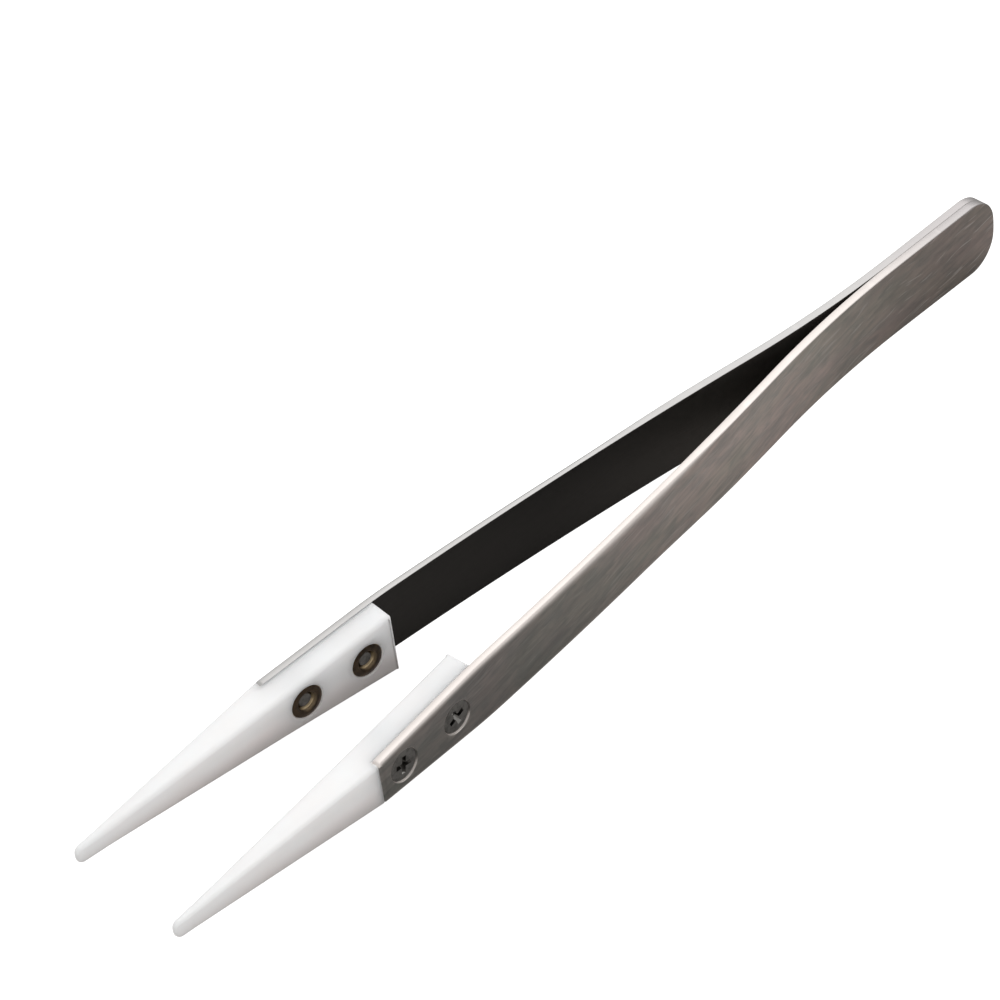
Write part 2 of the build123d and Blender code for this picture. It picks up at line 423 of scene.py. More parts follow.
class Nodes:
    """Node tree of one material, with short ways to add to it."""

    def __init__(self, name: str) -> None:
        """Starts a material with its shader and output.

        Args:
            name: The material's name.
        """
        self.made = bpy.data.materials.new(name)
        self.made.use_nodes = True
        self.tree = self.made.node_tree
        self.shader = self.tree.nodes["Principled BSDF"]

    def add(self, kind: str, **settings: object) -> bpy.types.Node:
        """Adds a node and sets its properties.

        Args:
            kind: Its type.
            **settings: The properties.

        Returns:
            The node.
        """
        node = self.tree.nodes.new(kind)
        for key, value in settings.items():
            setattr(node, key, value)
        return node

    def join(self, source: object, target: bpy.types.NodeSocket) -> None:
        """Links a socket to another, or sets a plain value on it.

        Args:
            source: Socket or value.
            target: The socket that takes it.
        """
        if isinstance(source, bpy.types.NodeSocket):
            self.tree.links.new(source, target)
        else:
            target.default_value = source

    def sum(self, way: str, first: object, second: object = 0.0,
            third: object = 0.0) -> bpy.types.NodeSocket:
        """Calculates with up to three numbers.

        Args:
            way: Name of the operation.
            first: Socket or number.
            second: Socket or number.
            third: Socket or number.

        Returns:
            The result's socket.
        """
        node = self.add("ShaderNodeMath", operation=way)
        for source, target in zip((first, second, third), node.inputs):
            self.join(source, target)
        return node.outputs[0]

    def step(self, value: object, low: float, high: float, start: float = 0.0,
             end: float = 1.0) -> bpy.types.NodeSocket:
        """Runs smoothly from one number to another as a value changes.

        Args:
            value: Socket of the value.
            low: The value at the start.
            high: The value at the end.
            start: Number at the start.
            end: Number at the end.

        Returns:
            The number's socket.
        """
        node = self.add("ShaderNodeMapRange", interpolation_type="SMOOTHSTEP")
        for source, target in zip((value, low, high, start, end), node.inputs):
            self.join(source, target)
        return node.outputs[0]

    def blend(self, share: object, first: object, second: object,
              way: str = "MIX") -> bpy.types.NodeSocket:
        """Mixes two colours.

        Args:
            share: Socket or number, 0 for the first colour.
            first: Socket or colour.
            second: Socket or colour.
            way: Name of the operation.

        Returns:
            The mixed colour's socket.
        """
        node = self.add("ShaderNodeMix", data_type="RGBA", blend_type=way)
        self.join(share, node.inputs[0])
        self.join(first, node.inputs[6])
        self.join(second, node.inputs[7])
        return node.outputs[2]

    def split(self, vector: bpy.types.NodeSocket) -> list[bpy.types.NodeSocket]:
        """Takes a vector apart.

        Args:
            vector: Its socket.

        Returns:
            The sockets of its X, Y and Z.
        """
        parts = self.add("ShaderNodeSeparateXYZ")
        self.join(vector, parts.inputs[0])
        return list(parts.outputs)

    def place(self) -> list[bpy.types.NodeSocket]:
        """X, Y and Z of a point on the piece."""
        return self.split(self.add("ShaderNodeTexCoord").outputs["Object"])

    def facing(self) -> list[bpy.types.NodeSocket]:
        """X, Y and Z of the surface's own direction."""
        return self.split(self.add("ShaderNodeNewGeometry").outputs["Normal"])

    def vector(self, x: object, y: object, z: object) -> bpy.types.NodeSocket:
        """Puts three numbers together.

        Args:
            x: Socket or number.
            y: Socket or number.
            z: Socket or number.

        Returns:
            The vector's socket.
        """
        node = self.add("ShaderNodeCombineXYZ")
        for source, target in zip((x, y, z), node.inputs):
            self.join(source, target)
        return node.outputs[0]

    def noise(self, spot: object, scale: float, detail: float = 2.0, rough: float = 0.5,
              bend: float = 0.0) -> bpy.types.NodeSocket:
        """Cloudy pattern from 0 to 1.

        Args:
            spot: Where on the surface.
            scale: How fine it is.
            detail: How many finer layers it has.
            rough: How strong the finer layers are.
            bend: How far it is swirled.

        Returns:
            The pattern's socket.
        """
        node = self.add("ShaderNodeTexNoise")
        for word, value in (("Scale", scale), ("Detail", detail), ("Roughness", rough), ("Distortion", bend)):
            node.inputs[word].default_value = value
        self.join(spot, node.inputs["Vector"])
        return node.outputs["Fac"]

    def streaks(self, spot: tuple[object, object, object], scales: tuple[float, float], detail: float,
                rough: float = 0.5, bend: float = 0.0) -> bpy.types.NodeSocket:
        """Cloudy pattern that is drawn out along the blade.

        Args:
            spot: Place along the blade, side, and place across the blade.
            scales: How fine it is along and across.
            detail: How many finer layers it has.
            rough: How strong the finer layers are.
            bend: How far it is swirled.

        Returns:
            The pattern's socket.
        """
        along, side, across = spot
        along, across = (self.sum("MULTIPLY", *pair) for pair in zip((along, across), scales))
        return self.noise(self.vector(along, side, across), 1.0, detail, rough, bend)

    def relief(self, height: object, depth: float, strength: float) -> None:
        """Raises and sinks the surface a little.

        Args:
            height: Pattern of the height.
            depth: What a height of 1 stands for, in metres.
            strength: How much of it shows.
        """
        node = self.add("ShaderNodeBump")
        node.inputs["Strength"].default_value = strength
        node.inputs["Distance"].default_value = depth
        self.join(height, node.inputs["Height"])
        self.join(node.outputs[0], self.shader.inputs["Normal"])


Colour = tuple[float, float, float, float]


@dataclass(frozen=True)
class Finish:
    """Surface of a piece."""

    name: str

    def material(self) -> bpy.types.Material:
        """Its material, made once and then shared."""
        known = bpy.data.materials.get(self.name)
        return known if known else self.mixed()

    def mixed(self) -> bpy.types.Material:
        """Makes the material."""
        return Nodes(self.name).made


@dataclass(frozen=True)
class ArmSteel(Finish):
    """Stainless strip: brushed outside, with pale ground edges; painted shade makes its inside dark, and
    painted reflection and painted shade grade its face and some edges.
    """

    name: str = "brushed_spring_steel"
    # The face's three colours hold painted light: lighter in the middle of the blade as a painted reflection,
    # darker at the tail and the front as painted shade.
    outer_tail: Colour = (0.32, 0.288, 0.266, 1.0)
    outer_middle: Colour = (0.56, 0.52, 0.485, 1.0)
    outer_front: Colour = (0.27, 0.265, 0.252, 1.0)
    # The inner colour is painted shade on the same steel: nearly black, lighter toward the tail.
    inner: Colour = (0.066, 0.062, 0.058, 1.0)
    inner_rear: Colour = (0.34, 0.31, 0.285, 1.0)
    edge: Colour = (0.75, 0.695, 0.66, 1.0)
    # Painted shade on the edges: the far arm's long edge is greyer, its outer rounding carries a painted dark
    # reflection line, and the tail's end is darkened; the edges are also greyer over the tail.
    edge_tail: Colour = (0.50, 0.475, 0.47, 1.0)
    edge_end: Colour = (0.26, 0.25, 0.245, 1.0)
    edge_far: Colour = (0.52, 0.51, 0.50, 1.0)
    edge_line: Colour = (0.26, 0.255, 0.25, 1.0)
    scratched: Colour = (0.66, 0.62, 0.59, 1.0)
    soft_tones: tuple[Colour, Colour] = ((0.88, 0.90, 0.90, 1.0), (1.12, 1.07, 1.05, 1.0))
    cloud_tones: tuple[Colour, Colour] = ((0.93, 0.96, 0.94, 1.0), (1.07, 1.02, 1.04, 1.0))
    fine_tones: tuple[Colour, Colour] = ((0.90, 0.90, 0.90, 1.0), (1.12, 1.11, 1.10, 1.0))
    streak_turn: float = -0.13
    side_shift: float = 3.7
    middle_zone: tuple[float, float] = (-0.058, -0.026)
    front_zone: tuple[float, float] = (-0.024, 0.028)
    worn_zone: tuple[float, float] = (0.03, -0.03)
    lining_zone: tuple[float, float] = (-0.052, 0.005)
    tail_zone: tuple[float, float] = (-0.062, -0.035)
    end_zone: tuple[float, float] = (-0.0645, -0.0605)
    relief_depth: float = 0.000012

    def mixed(self) -> bpy.types.Material:
        """Makes the material."""
        n = Nodes(self.name)
        x, y, z = n.place()
        toward = n.facing()
        half = n.sum("SIGN", y)
        outward = n.sum("MULTIPLY", toward[1], half)
        rim = n.step(n.sum("ABSOLUTE", toward[2]), 0.08, 0.50)
        inside = n.step(n.sum("MULTIPLY", outward, -1.0), 0.4, 0.8)

        along = n.sum("MULTIPLY_ADD", z, self.streak_turn, x)
        across = n.sum("MULTIPLY_ADD", x, -self.streak_turn, z)
        lane = n.sum("MULTIPLY", half, self.side_shift)
        fine = n.streaks((along, lane, across), (190.0, 2400.0), 3.0, 0.6)
        soft = n.streaks((along, lane, across), (330.0, 900.0), 3.0, 0.55, 0.6)
        cloud = n.streaks((x, lane, z), (60.0, 160.0), 2.0)
        sway = n.noise(n.vector(x, lane, z), 90.0, 1.0)
        swayed = n.sum("MULTIPLY_ADD", sway, 0.004, across)
        scratch = n.step(n.streaks((along, lane, swayed), (230.0, 3400.0), 1.0), 0.63, 0.72)
        worn = n.sum("MULTIPLY_ADD", n.step(x, *self.worn_zone), 0.75, 0.25)
        scratch = n.sum("MULTIPLY", scratch, worn)

        # Painted reflection and painted shade: the face is graded lighter in the middle of the blade and
        # darker at the tail and the front.
        face = n.blend(n.step(x, *self.middle_zone), self.outer_tail, self.outer_middle)
        face = n.blend(n.step(x, *self.front_zone), face, self.outer_front)
        for pattern, tones in ((soft, self.soft_tones), (cloud, self.cloud_tones), (fine, self.fine_tones)):
            face = n.blend(1.0, face, n.blend(n.step(pattern, 0.3, 0.7), *tones), "MULTIPLY")
        face = n.blend(n.sum("MULTIPLY", scratch, 0.5), face, self.scratched)
        # Painted shade: the inner face turns nearly black toward the front.
        inner_shade = n.blend(n.step(x, *self.lining_zone), self.inner_rear, self.inner)
        face = n.blend(inside, face, inner_shade)
        # Painted shade: the far arm's edges take the greyer colour and the dark line, and the tail's end goes
        # dark.
        far = n.blend(n.step(outward, 0.10, 0.45), self.edge_far, self.edge_line)
        ground = n.blend(n.step(half, -0.5, 0.5), far, self.edge)
        ground = n.blend(n.step(x, *self.tail_zone), self.edge_tail, ground)
        ground = n.blend(n.step(x, *self.end_zone), self.edge_end, ground)
        n.join(n.blend(rim, face, ground), n.shader.inputs["Base Color"])

        rough = n.sum("MULTIPLY_ADD", fine, 0.16, 0.34)
        rough = n.sum("MULTIPLY_ADD", scratch, -0.08, rough)
        n.join(rough, n.shader.inputs["Roughness"])
        n.shader.inputs["Metallic"].default_value = 1.0
        grain = n.sum("MULTIPLY_ADD", soft, 0.5, fine)
        n.relief(n.sum("SUBTRACT", grain, n.sum("MULTIPLY", scratch, 0.8)), self.relief_depth, 0.6)
        return n.made


@dataclass(frozen=True)
class Zirconia(Finish):
    """White ground ceramic that light enters a little, with painted shade that darkens it toward the floor.
    """

    name: str = "white_zirconia"
    body: Colour = (0.965, 0.925, 0.92, 1.0)
    shade: Colour = (0.945, 0.895, 0.885, 1.0)
    # Painted shade: this low colour darkens the ceramic toward the floor.
    low: Colour = (0.66, 0.62, 0.605, 1.0)
    low_zone: tuple[float, float] = (0.0042, 0.0012)
    light_depth: float = 0.0028

    def mixed(self) -> bpy.types.Material:
        """Makes the material."""
        n = Nodes(self.name)
        x, y, z = n.place()
        spot = n.vector(x, y, z)
        cloud = n.noise(spot, 160.0, 3.0, 0.5)
        ground = n.noise(n.vector(n.sum("MULTIPLY", x, 500.0), n.sum("MULTIPLY", y, 3000.0),
                                  n.sum("MULTIPLY", z, 3000.0)), 1.0, 2.0)
        white = n.blend(n.step(cloud, 0.35, 0.65), self.body, self.shade)
        # Painted shade: darker toward the floor.
        n.join(n.blend(n.step(z, *self.low_zone), white, self.low), n.shader.inputs["Base Color"])
        n.join(n.sum("MULTIPLY_ADD", ground, 0.12, 0.28), n.shader.inputs["Roughness"])
        n.shader.inputs["Subsurface Weight"].default_value = 1.0
        n.shader.inputs["Subsurface Radius"].default_value = (1.0, 0.97, 0.95)
        n.shader.inputs["Subsurface Scale"].default_value = self.light_depth
        n.shader.inputs["IOR"].default_value = 1.6
        n.relief(ground, 0.000006, 0.4)
        return n.made


@dataclass(frozen=True)
class ScrewSteel(Finish):
    """Turned and polished screw steel with darker stains."""

    name: str = "polished_screw_steel"
    body: Colour = (0.23, 0.222, 0.21, 1.0)
    stain: Colour = (0.14, 0.134, 0.126, 1.0)
    cloud_scale: float = 1400.0
    stained: tuple[float, float] = (0.4, 0.7)
    roughness: tuple[float, float] = (0.15, 0.14)
    metallic: float = 1.0

    def mixed(self) -> bpy.types.Material:
        """Makes the material."""
        n = Nodes(self.name)
        cloud = n.noise(n.vector(*n.place()), self.cloud_scale, 3.0, 0.6)
        metal = n.blend(n.step(cloud, *self.stained), self.body, self.stain)
        n.join(self.worn(n, metal), n.shader.inputs["Base Color"])
        n.join(n.sum("MULTIPLY_ADD", cloud, *self.roughness), n.shader.inputs["Roughness"])
        n.shader.inputs["Metallic"].default_value = self.metallic
        n.relief(cloud, 0.00001, 0.4)
        return n.made

    def worn(self, n: Nodes, metal: bpy.types.NodeSocket) -> bpy.types.NodeSocket:
        """The metal's colour where it is worn, which is nowhere on a screw."""
        return metal


@dataclass(frozen=True)
class NutBronze(ScrewSteel):
    """Bronze gone dark brown, with brighter metal in its bore that is also a painted golden glint."""

    name: str = "aged_nut_bronze"
    body: Colour = (0.105, 0.072, 0.044, 1.0)
    stain: Colour = (0.060, 0.045, 0.032, 1.0)
    # The bore colour is partly the bore's brighter metal and partly a painted golden glint.
    bore: Colour = (0.40, 0.31, 0.19, 1.0)
    cloud_scale: float = 1100.0
    stained: tuple[float, float] = (0.35, 0.65)
    roughness: tuple[float, float] = (0.2, 0.25)
    metallic: float = 0.9

    def worn(self, n: Nodes, metal: bpy.types.NodeSocket) -> bpy.types.NodeSocket:
        """The metal's colour, brighter where the surface turns in to the bore, partly as a painted glint."""
        return n.blend(n.step(n.sum("ABSOLUTE", n.facing()[1]), 0.55, 0.85), self.bore, metal)


@dataclass(frozen=True)
class FloorPaint(Finish):
    """Pale studio floor that looks evenly lit."""

    name: str = "floor_paint"
    bounce: Colour = (0.40, 0.392, 0.385, 1.0)
    glow: float = 1.0

    def mixed(self) -> bpy.types.Material:
        """Makes the material."""
        n = Nodes(self.name)
        n.shader.inputs["Base Color"].default_value = self.bounce
        n.shader.inputs["Roughness"].default_value = 0.9
        n.shader.inputs["Specular IOR Level"].default_value = 0.0
        seen = n.add("ShaderNodeLightPath").outputs["Is Camera Ray"]
        n.shader.inputs["Emission Color"].default_value = (1.0, 1.0, 1.0, 1.0)
        n.join(n.sum("MULTIPLY", seen, self.glow), n.shader.inputs["Emission Strength"])
        return n.made


def turned(outline: list[tuple[float, float]], axis: Matrix, turns: int, ring: bool = False) -> Skin:
    """Turns an outline round an axis.

    Args:
        outline: Radius and height of each point in mm, from below to above.
        axis: Where the axis stands: its Z in the object's frame, in metres.
        turns: Points round the axis.
        ring: Whether the outline closes on itself; the ends are closed with a fan otherwise.

    Returns:
        The closed skin.
    """
    skin = Skin()
    rows = []
    for radius, height in outline:
        circle = []
        for i in range(turns):
            angle = 2 * math.pi * i / turns
            circle.append(axis @ (Vector((radius * math.cos(angle), radius * math.sin(angle), height)) * MM))
        rows.append(skin.row(circle))
    for low, high in zip(rows, rows[1:] + rows[:1] if ring else rows[1:]):
        skin.band(low, high)
    if not ring:
        skin.fan(rows[0], axis @ Vector((0, 0, outline[0][1] * MM)), True)
        skin.fan(rows[-1], axis @ Vector((0, 0, outline[-1][1] * MM)), False)
    return skin


@dataclass(frozen=True)
class Edge:
    """One point of a flat outline, with the direction into it."""

    x: float
    z: float
    in_x: float
    in_z: float


def straight_run(first: tuple[float, float], last: tuple[float, float], pitch: float) -> list[Edge]:
    """Points between two ends of a straight stretch, without the ends.

    Args:
        first: Its start.
        last: Its end, further along with the inside on the right.
        pitch: About how far apart the points are.

    Returns:
        The points.
    """
    dx = last[0] - first[0]
    dz = last[1] - first[1]
    length = math.hypot(dx, dz)
    count = max(1, round(length / pitch))
    return [Edge(first[0] + dx * i / count, first[1] + dz * i / count, dz / length, -dx / length)
            for i in range(1, count)]


def round_run(centre: tuple[float, float], radius: float, start: float, end: float, count: int,
              hollow: bool = False) -> list[Edge]:
    """Points on an arc, with its ends.

    Args:
        centre: Its centre.
        radius: Its radius.
        start: Angle at its start.
        end: Angle at its end.
        count: How many steps it has.
        hollow: Whether its centre lies outside the outline.

    Returns:
        The points.
    """
    made = []
    inward = 1 if hollow else -1
    for i in range(count + 1):
        angle = start + (end - start) * i / count
        c = math.cos(angle)
        s = math.sin(angle)
        made.append(Edge(centre[0] + radius * c, centre[1] + radius * s, inward * c, inward * s))
    return made


def corner_run(before: tuple[float, float], corner: tuple[float, float], after: tuple[float, float],
               radius: float, count: int) -> list[Edge]:
    """Points on the round of a corner between two straight stretches.

    Args:
        before: A point before the corner.
        corner: The sharp corner.
        after: A point after it.
        radius: Radius of the round.
        count: How many steps it has.

    Returns:
        The points, with the ends of the round.
    """
    into = math.atan2(corner[1] - before[1], corner[0] - before[0])
    out = math.atan2(after[1] - corner[1], after[0] - corner[0])
    side = 1 if into > out else -1
    back = radius * math.tan(abs(into - out) / 2)
    centre = (corner[0] - back * math.cos(into) + side * radius * math.sin(into),
              corner[1] - back * math.sin(into) - side * radius * math.cos(into))
    return round_run(centre, radius, into + side * math.pi / 2, out + side * math.pi / 2, count, side < 0)


def joined(runs: list[list[Edge]], pitch: float) -> list[Edge]:
    """Joins runs of an outline by straight stretches.

    Args:
        runs: Their points, in order.
        pitch: About how far apart the points of the straight stretches are.

    Returns:
        All the points.
    """
    made = list(runs[0])
    for run in runs[1:]:
        made += straight_run((made[-1].x, made[-1].z), (run[0].x, run[0].z), pitch) + run
    return made


@dataclass
class Arm:
    """One bent stainless strip with its dressed edges and its two countersunk holes."""

    side: Side
    blade: Blade = Blade()
    seat: Seat = Seat()
    edge_break: float = 0.15
    inner_break: float = 0.07
    rounding_start: float = 43.0
    rounding_full: float = 63.0
    rounding_height: float = 1.2
    rounding_depth: float = 0.5
    rounding_front: float = 0.7
    pitch: float = 0.8
    rounding_steps: int = 7
    face_lanes: int = 8
    head_radius: float = 1.93
    hole_radius: float = 1.03
    head_rim: float = 0.15
    mouth_break: float = 0.07
    load_point: float = 69.0
    turns: int = 64
    finish: Finish = field(default_factory=ArmSteel)

    def outline(self) -> list[Edge]:
        """Upper half of the side outline, from the middle of the tail to the middle of the front end."""
        b = self.blade
        tail = b.tail_width / 2
        shoulder = b.shoulder_width / 2
        nose = b.front_width / 2
        bulge_radius = (tail * tail + b.tail_bulge * b.tail_bulge) / (2 * b.tail_bulge)
        line = (b.shoulder_x - b.tail_bulge, shoulder - tail)
        length = math.hypot(*line)
        unit = (line[0] / length, line[1] / length)
        lift = (b.tail_bulge - bulge_radius + b.tail_corner * unit[1], tail - b.tail_corner * unit[0])
        reach = bulge_radius - b.tail_corner
        dot = lift[0] * unit[0] + lift[1] * unit[1]
        rest = lift[0] ** 2 + lift[1] ** 2 - reach * reach
        run = -dot - math.sqrt(dot * dot - rest)
        centre = (bulge_radius + lift[0] + run * unit[0], lift[1] + run * unit[1])
        meet = math.atan2(centre[1], centre[0] - bulge_radius)
        made = round_run((bulge_radius, 0.0), bulge_radius, math.pi, meet, 5)[:-1]
        made += round_run(centre, b.tail_corner, meet, math.atan2(unit[1], unit[0]) + math.pi / 2, 16)
        start = (b.tail_bulge, tail)
        turn = corner_run(start, (b.shoulder_x, shoulder), (b.reach, nose), b.shoulder_radius, 8)
        end = corner_run((b.shoulder_x, shoulder), (b.reach, nose), (b.reach, 0.0), b.front_corner, 8)
        return joined([made, turn, end, [Edge(b.reach, 0.0, -1.0, 0.0)]], self.pitch)

    def rounding(self, spot: Edge) -> tuple[float, float]:
        """Rounding of the outer edge.

        Args:
            spot: Point of the outline.

        Returns:
            Its height and depth there.
        """
        if spot.x < self.rounding_full:
            share = max(0.0, (spot.x - self.rounding_start) / (self.rounding_full - self.rounding_start))
            ease = share * share * (3 - 2 * share)
            height = self.rounding_height * ease
        else:
            share = (spot.x - self.rounding_full) / (self.blade.reach - self.rounding_full)
            height = self.rounding_height + (self.rounding_front - self.rounding_height) * share
        depth = height * self.rounding_depth / self.rounding_height
        across = spot.in_z * spot.in_z
        return (self.edge_break + max(0.0, height - self.edge_break) * across,
                self.edge_break + max(0.0, depth - self.edge_break) * across)

    def layers(self, spot: Edge) -> list[tuple[float, float]]:
        """Layers of the skin, from the inner face outwards.

        Args:
            spot: Point of the outline.

        Returns:
            Their insets and depths there.
        """
        t = self.blade.thickness
        n = self.inner_break
        height, depth = self.rounding(spot)
        made = [(2 * n, 0.0), (n, 0.0), (0.3 * n, 0.3 * n), (0.0, n)]
        for i in range(self.rounding_steps + 1):
            angle = math.pi / 2 * i / self.rounding_steps
            made.append((height * (1 - math.cos(angle)), t - depth + depth * math.sin(angle)))
        made.append((height + 0.06, t))
        return made

    def build(self) -> bpy.types.Object:
        """Builds the arm, with its holes."""
        skin = Skin()
        skin.wrap(self.outline(), self.layers, self.blade.on_arm, self.face_lanes)
        arm = skin.piece(self.side.word + "_spring_arm")
        cut(arm, [self.hole(distance) for distance in self.seat.holes.values()])
        return mirrored(arm, self.side)

    def hole(self, distance: float) -> bpy.types.Object:
        """Shape of one countersunk hole.

        Args:
            distance: Its place along the seat.

        Returns:
            The shape, to be cut away.
        """
        t = self.blade.thickness
        head = self.head_radius
        floor = t - self.head_rim - (head - self.hole_radius)
        outline = [(self.hole_radius, -t), (self.hole_radius, floor), (head, t - self.head_rim),
                   (head, t - 0.06), (head + 0.02, t - 0.02),
                   (head + self.mouth_break, t + 0.01), (head + self.mouth_break, 2 * t)]
        return turned(outline, out_axis(self.seat, distance, 0.0, 1.0), self.turns).piece("hole")

    def assemble(self) -> bpy.types.Object:
        """Builds and dresses the arm, and hides the CAD model's arm."""
        arm = self.build()
        dress(arm, self.finish)
        start = self.blade.placed(Vector((self.blade.weld, 0.0, 0.0)))
        end = self.blade.placed(Vector((self.load_point, 0.0, 0.0)))
        end.z = start.z
        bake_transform(arm)
        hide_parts(self.side.word + "_arm")
        return arm


def out_axis(seat: Seat, distance: float, out: float, sign: float) -> Matrix:
    """Frame of a fastener on the left arm.

    Args:
        seat: The seat that it stands on.
        distance: Its place along the seat.
        out: Height of its origin out from the arm's inner face.
        sign: 1 for a Z axis out through the arm, -1 for one in through the ceramic.

    Returns:
        The frame in the object's frame, in metres.
    """
    origin = seat.point(distance, out, 0.0)
    along = (seat.point(distance + 1, out, 0.0) - origin).normalized()
    outward = (seat.point(distance, out + 1, 0.0) - origin).normalized() * sign
    side = outward.cross(along)
    matrix = Matrix((along, side, outward)).transposed().to_4x4()
    matrix.translation = origin
    return matrix


@dataclass
class CeramicTip:
    """White ceramic tip: a block behind the arm's front, a step, and a long taper."""

    side: Side
    seat: Seat = Seat()
    block: float = 2.95
    step_clearance: float = 0.05
    step_drop: float = 0.03
    rear_height: float = 7.9
    step_height: float = 5.5
    tip_height: float = 2.0
    bend_radius: float = 60.0
    tip_thickness: float = 0.72
    tip_corner: float = 0.8
    overall: float = 130.0
    inner_round: float = 0.55
    outer_round: float = 0.40
    rear_round: float = 0.15
    flange_radius: float = 1.98
    bore_radius: float = 1.48
    counterbore: float = 0.75
    mouth_round: float = 0.12
    spare: float = 1.0
    pitch: float = 0.9
    end_pitch: float = 0.2
    rear_corner: float = 0.25
    steps: int = 6
    turns: int = 64
    finish: Finish = field(default_factory=Zirconia)

    @property
    def length(self) -> float:
        """Length along the seat's direction."""
        b = self.seat.blade
        start = b.reach - self.seat.length * math.cos(b.front)
        return (self.overall - start - self.block * math.sin(b.front)) / math.cos(b.front)

    @property
    def step_start(self) -> float:
        """Where the ceramic steps out in front of the arm."""
        return self.seat.length + self.step_clearance

    def outline(self) -> list[Edge]:
        """Upper half of the side outline, from the middle of the rear end to the middle of the tip."""
        rear = self.rear_height / 2
        step = self.step_height / 2
        tip = self.tip_height / 2
        start = corner_run((0.0, 0.0), (0.0, rear), (self.seat.length, step), self.rear_corner, 4)
        bend = corner_run((0.0, rear), (self.seat.length, step), (self.length, tip), self.bend_radius, 4)
        end = corner_run((self.seat.length, step), (self.length, tip), (self.length, 0.0), self.tip_corner, 8)
        made = joined([[Edge(0.0, 0.0, 1.0, 0.0)], start, bend, end], self.pitch)
        return joined([made, [Edge(self.length, 0.0, -1.0, 0.0)]], self.end_pitch)

    def outer_face(self, along: float) -> float:
        """Height of the outer face in front of the step, carried on behind it too.

        Args:
            along: Distance from the rear end.

        Returns:
            The height out from the arm's inner face.
        """
        high = self.seat.blade.thickness - self.step_drop
        low = self.tip_thickness - self.block
        share = max(0.0, (along - self.step_start) / (self.length - self.step_start))
        return high + (low - high) * share

    def layers(self, spot: Edge) -> list[tuple[float, float]]:
        """Layers of the skin, from the inner face outwards.

        Args:
            spot: Point of the outline.

        Returns:
            Their insets and heights there.
        """
        low = -self.block
        high = self.outer_face(spot.x)
        room = high - low
        rear = spot.in_x * spot.in_x if spot.in_x > 0 and spot.x < self.step_start else 0.0
        inner = min(self.inner_round + (self.rear_round - self.inner_round) * rear, 0.45 * room)
        outer = min(self.outer_round, 0.40 * room)
        made = [(inner + 0.05, low)]
        for i in range(self.steps + 1):
            angle = math.pi / 2 * (1 - i / self.steps)
            made.append((inner * (1 - math.cos(angle)), low + inner * (1 - math.sin(angle))))
        for i in range(self.steps + 1):
            angle = math.pi / 2 * i / self.steps
            made.append((outer * (1 - math.cos(angle)), high - outer * (1 - math.sin(angle))))
        made.append((outer + 0.05, high))
        return made

    def build(self) -> bpy.types.Object:
        """Builds the ceramic, with its step and its two stepped holes."""
        skin = Skin()
        skin.wrap(self.outline(), self.layers, self.seat.point, 1)
        ceramic = skin.piece(self.side.word + "_zirconia_tip")
        cut(ceramic, [self.step_tool()] + [self.hole(distance) for distance in self.seat.holes.values()])
        return mirrored(ceramic, self.side)

    def step_tool(self) -> bpy.types.Object:
        """The shape that is cut away where the arm lies."""
        back = -2 * self.spare
        high = 4 * self.spare
        side = 9 * self.spare
        skin = Skin()
        rows = []
        for along, out in ((back, 0.0), (self.step_start, 0.0), (self.step_start, high), (back, high)):
            rows.append(skin.row([self.seat.point(along, out, -side), self.seat.point(along, out, side)]))
        for a, b in zip(rows, rows[1:] + rows[:1]):
            skin.faces.append((a[0], b[0], b[1], a[1]))
        skin.faces.append(tuple(row[0] for row in reversed(rows)))
        skin.faces.append(tuple(row[1] for row in rows))
        return skin.piece("step")

    def hole(self, distance: float) -> bpy.types.Object:
        """Shape of one stepped hole with a rounded mouth.

        Args:
            distance: Its place along the seat.

        Returns:
            The shape, to be cut away.
        """
        r = self.mouth_round
        outline = [(self.bore_radius, -self.block - self.spare), (self.bore_radius, -self.counterbore),
                   (self.flange_radius, -self.counterbore), (self.flange_radius, -r)]
        for i in range(1, 5):
            angle = math.pi / 2 * i / 4
            outline.append((self.flange_radius + r * (1 - math.cos(angle)), -r + r * math.sin(angle)))
        outline.append((self.flange_radius + r, self.spare))
        return turned(outline, out_axis(self.seat, distance, -self.block, -1.0), self.turns).piece("hole")

    def assemble(self) -> bpy.types.Object:
        """Builds, dresses and hangs the ceramic on its tip's body."""
        ceramic = self.build()
        dress(ceramic, self.finish)
        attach(ceramic, self.side.word + "_tip")
        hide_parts(self.side.word + "_ceramic_tip")
        return ceramic


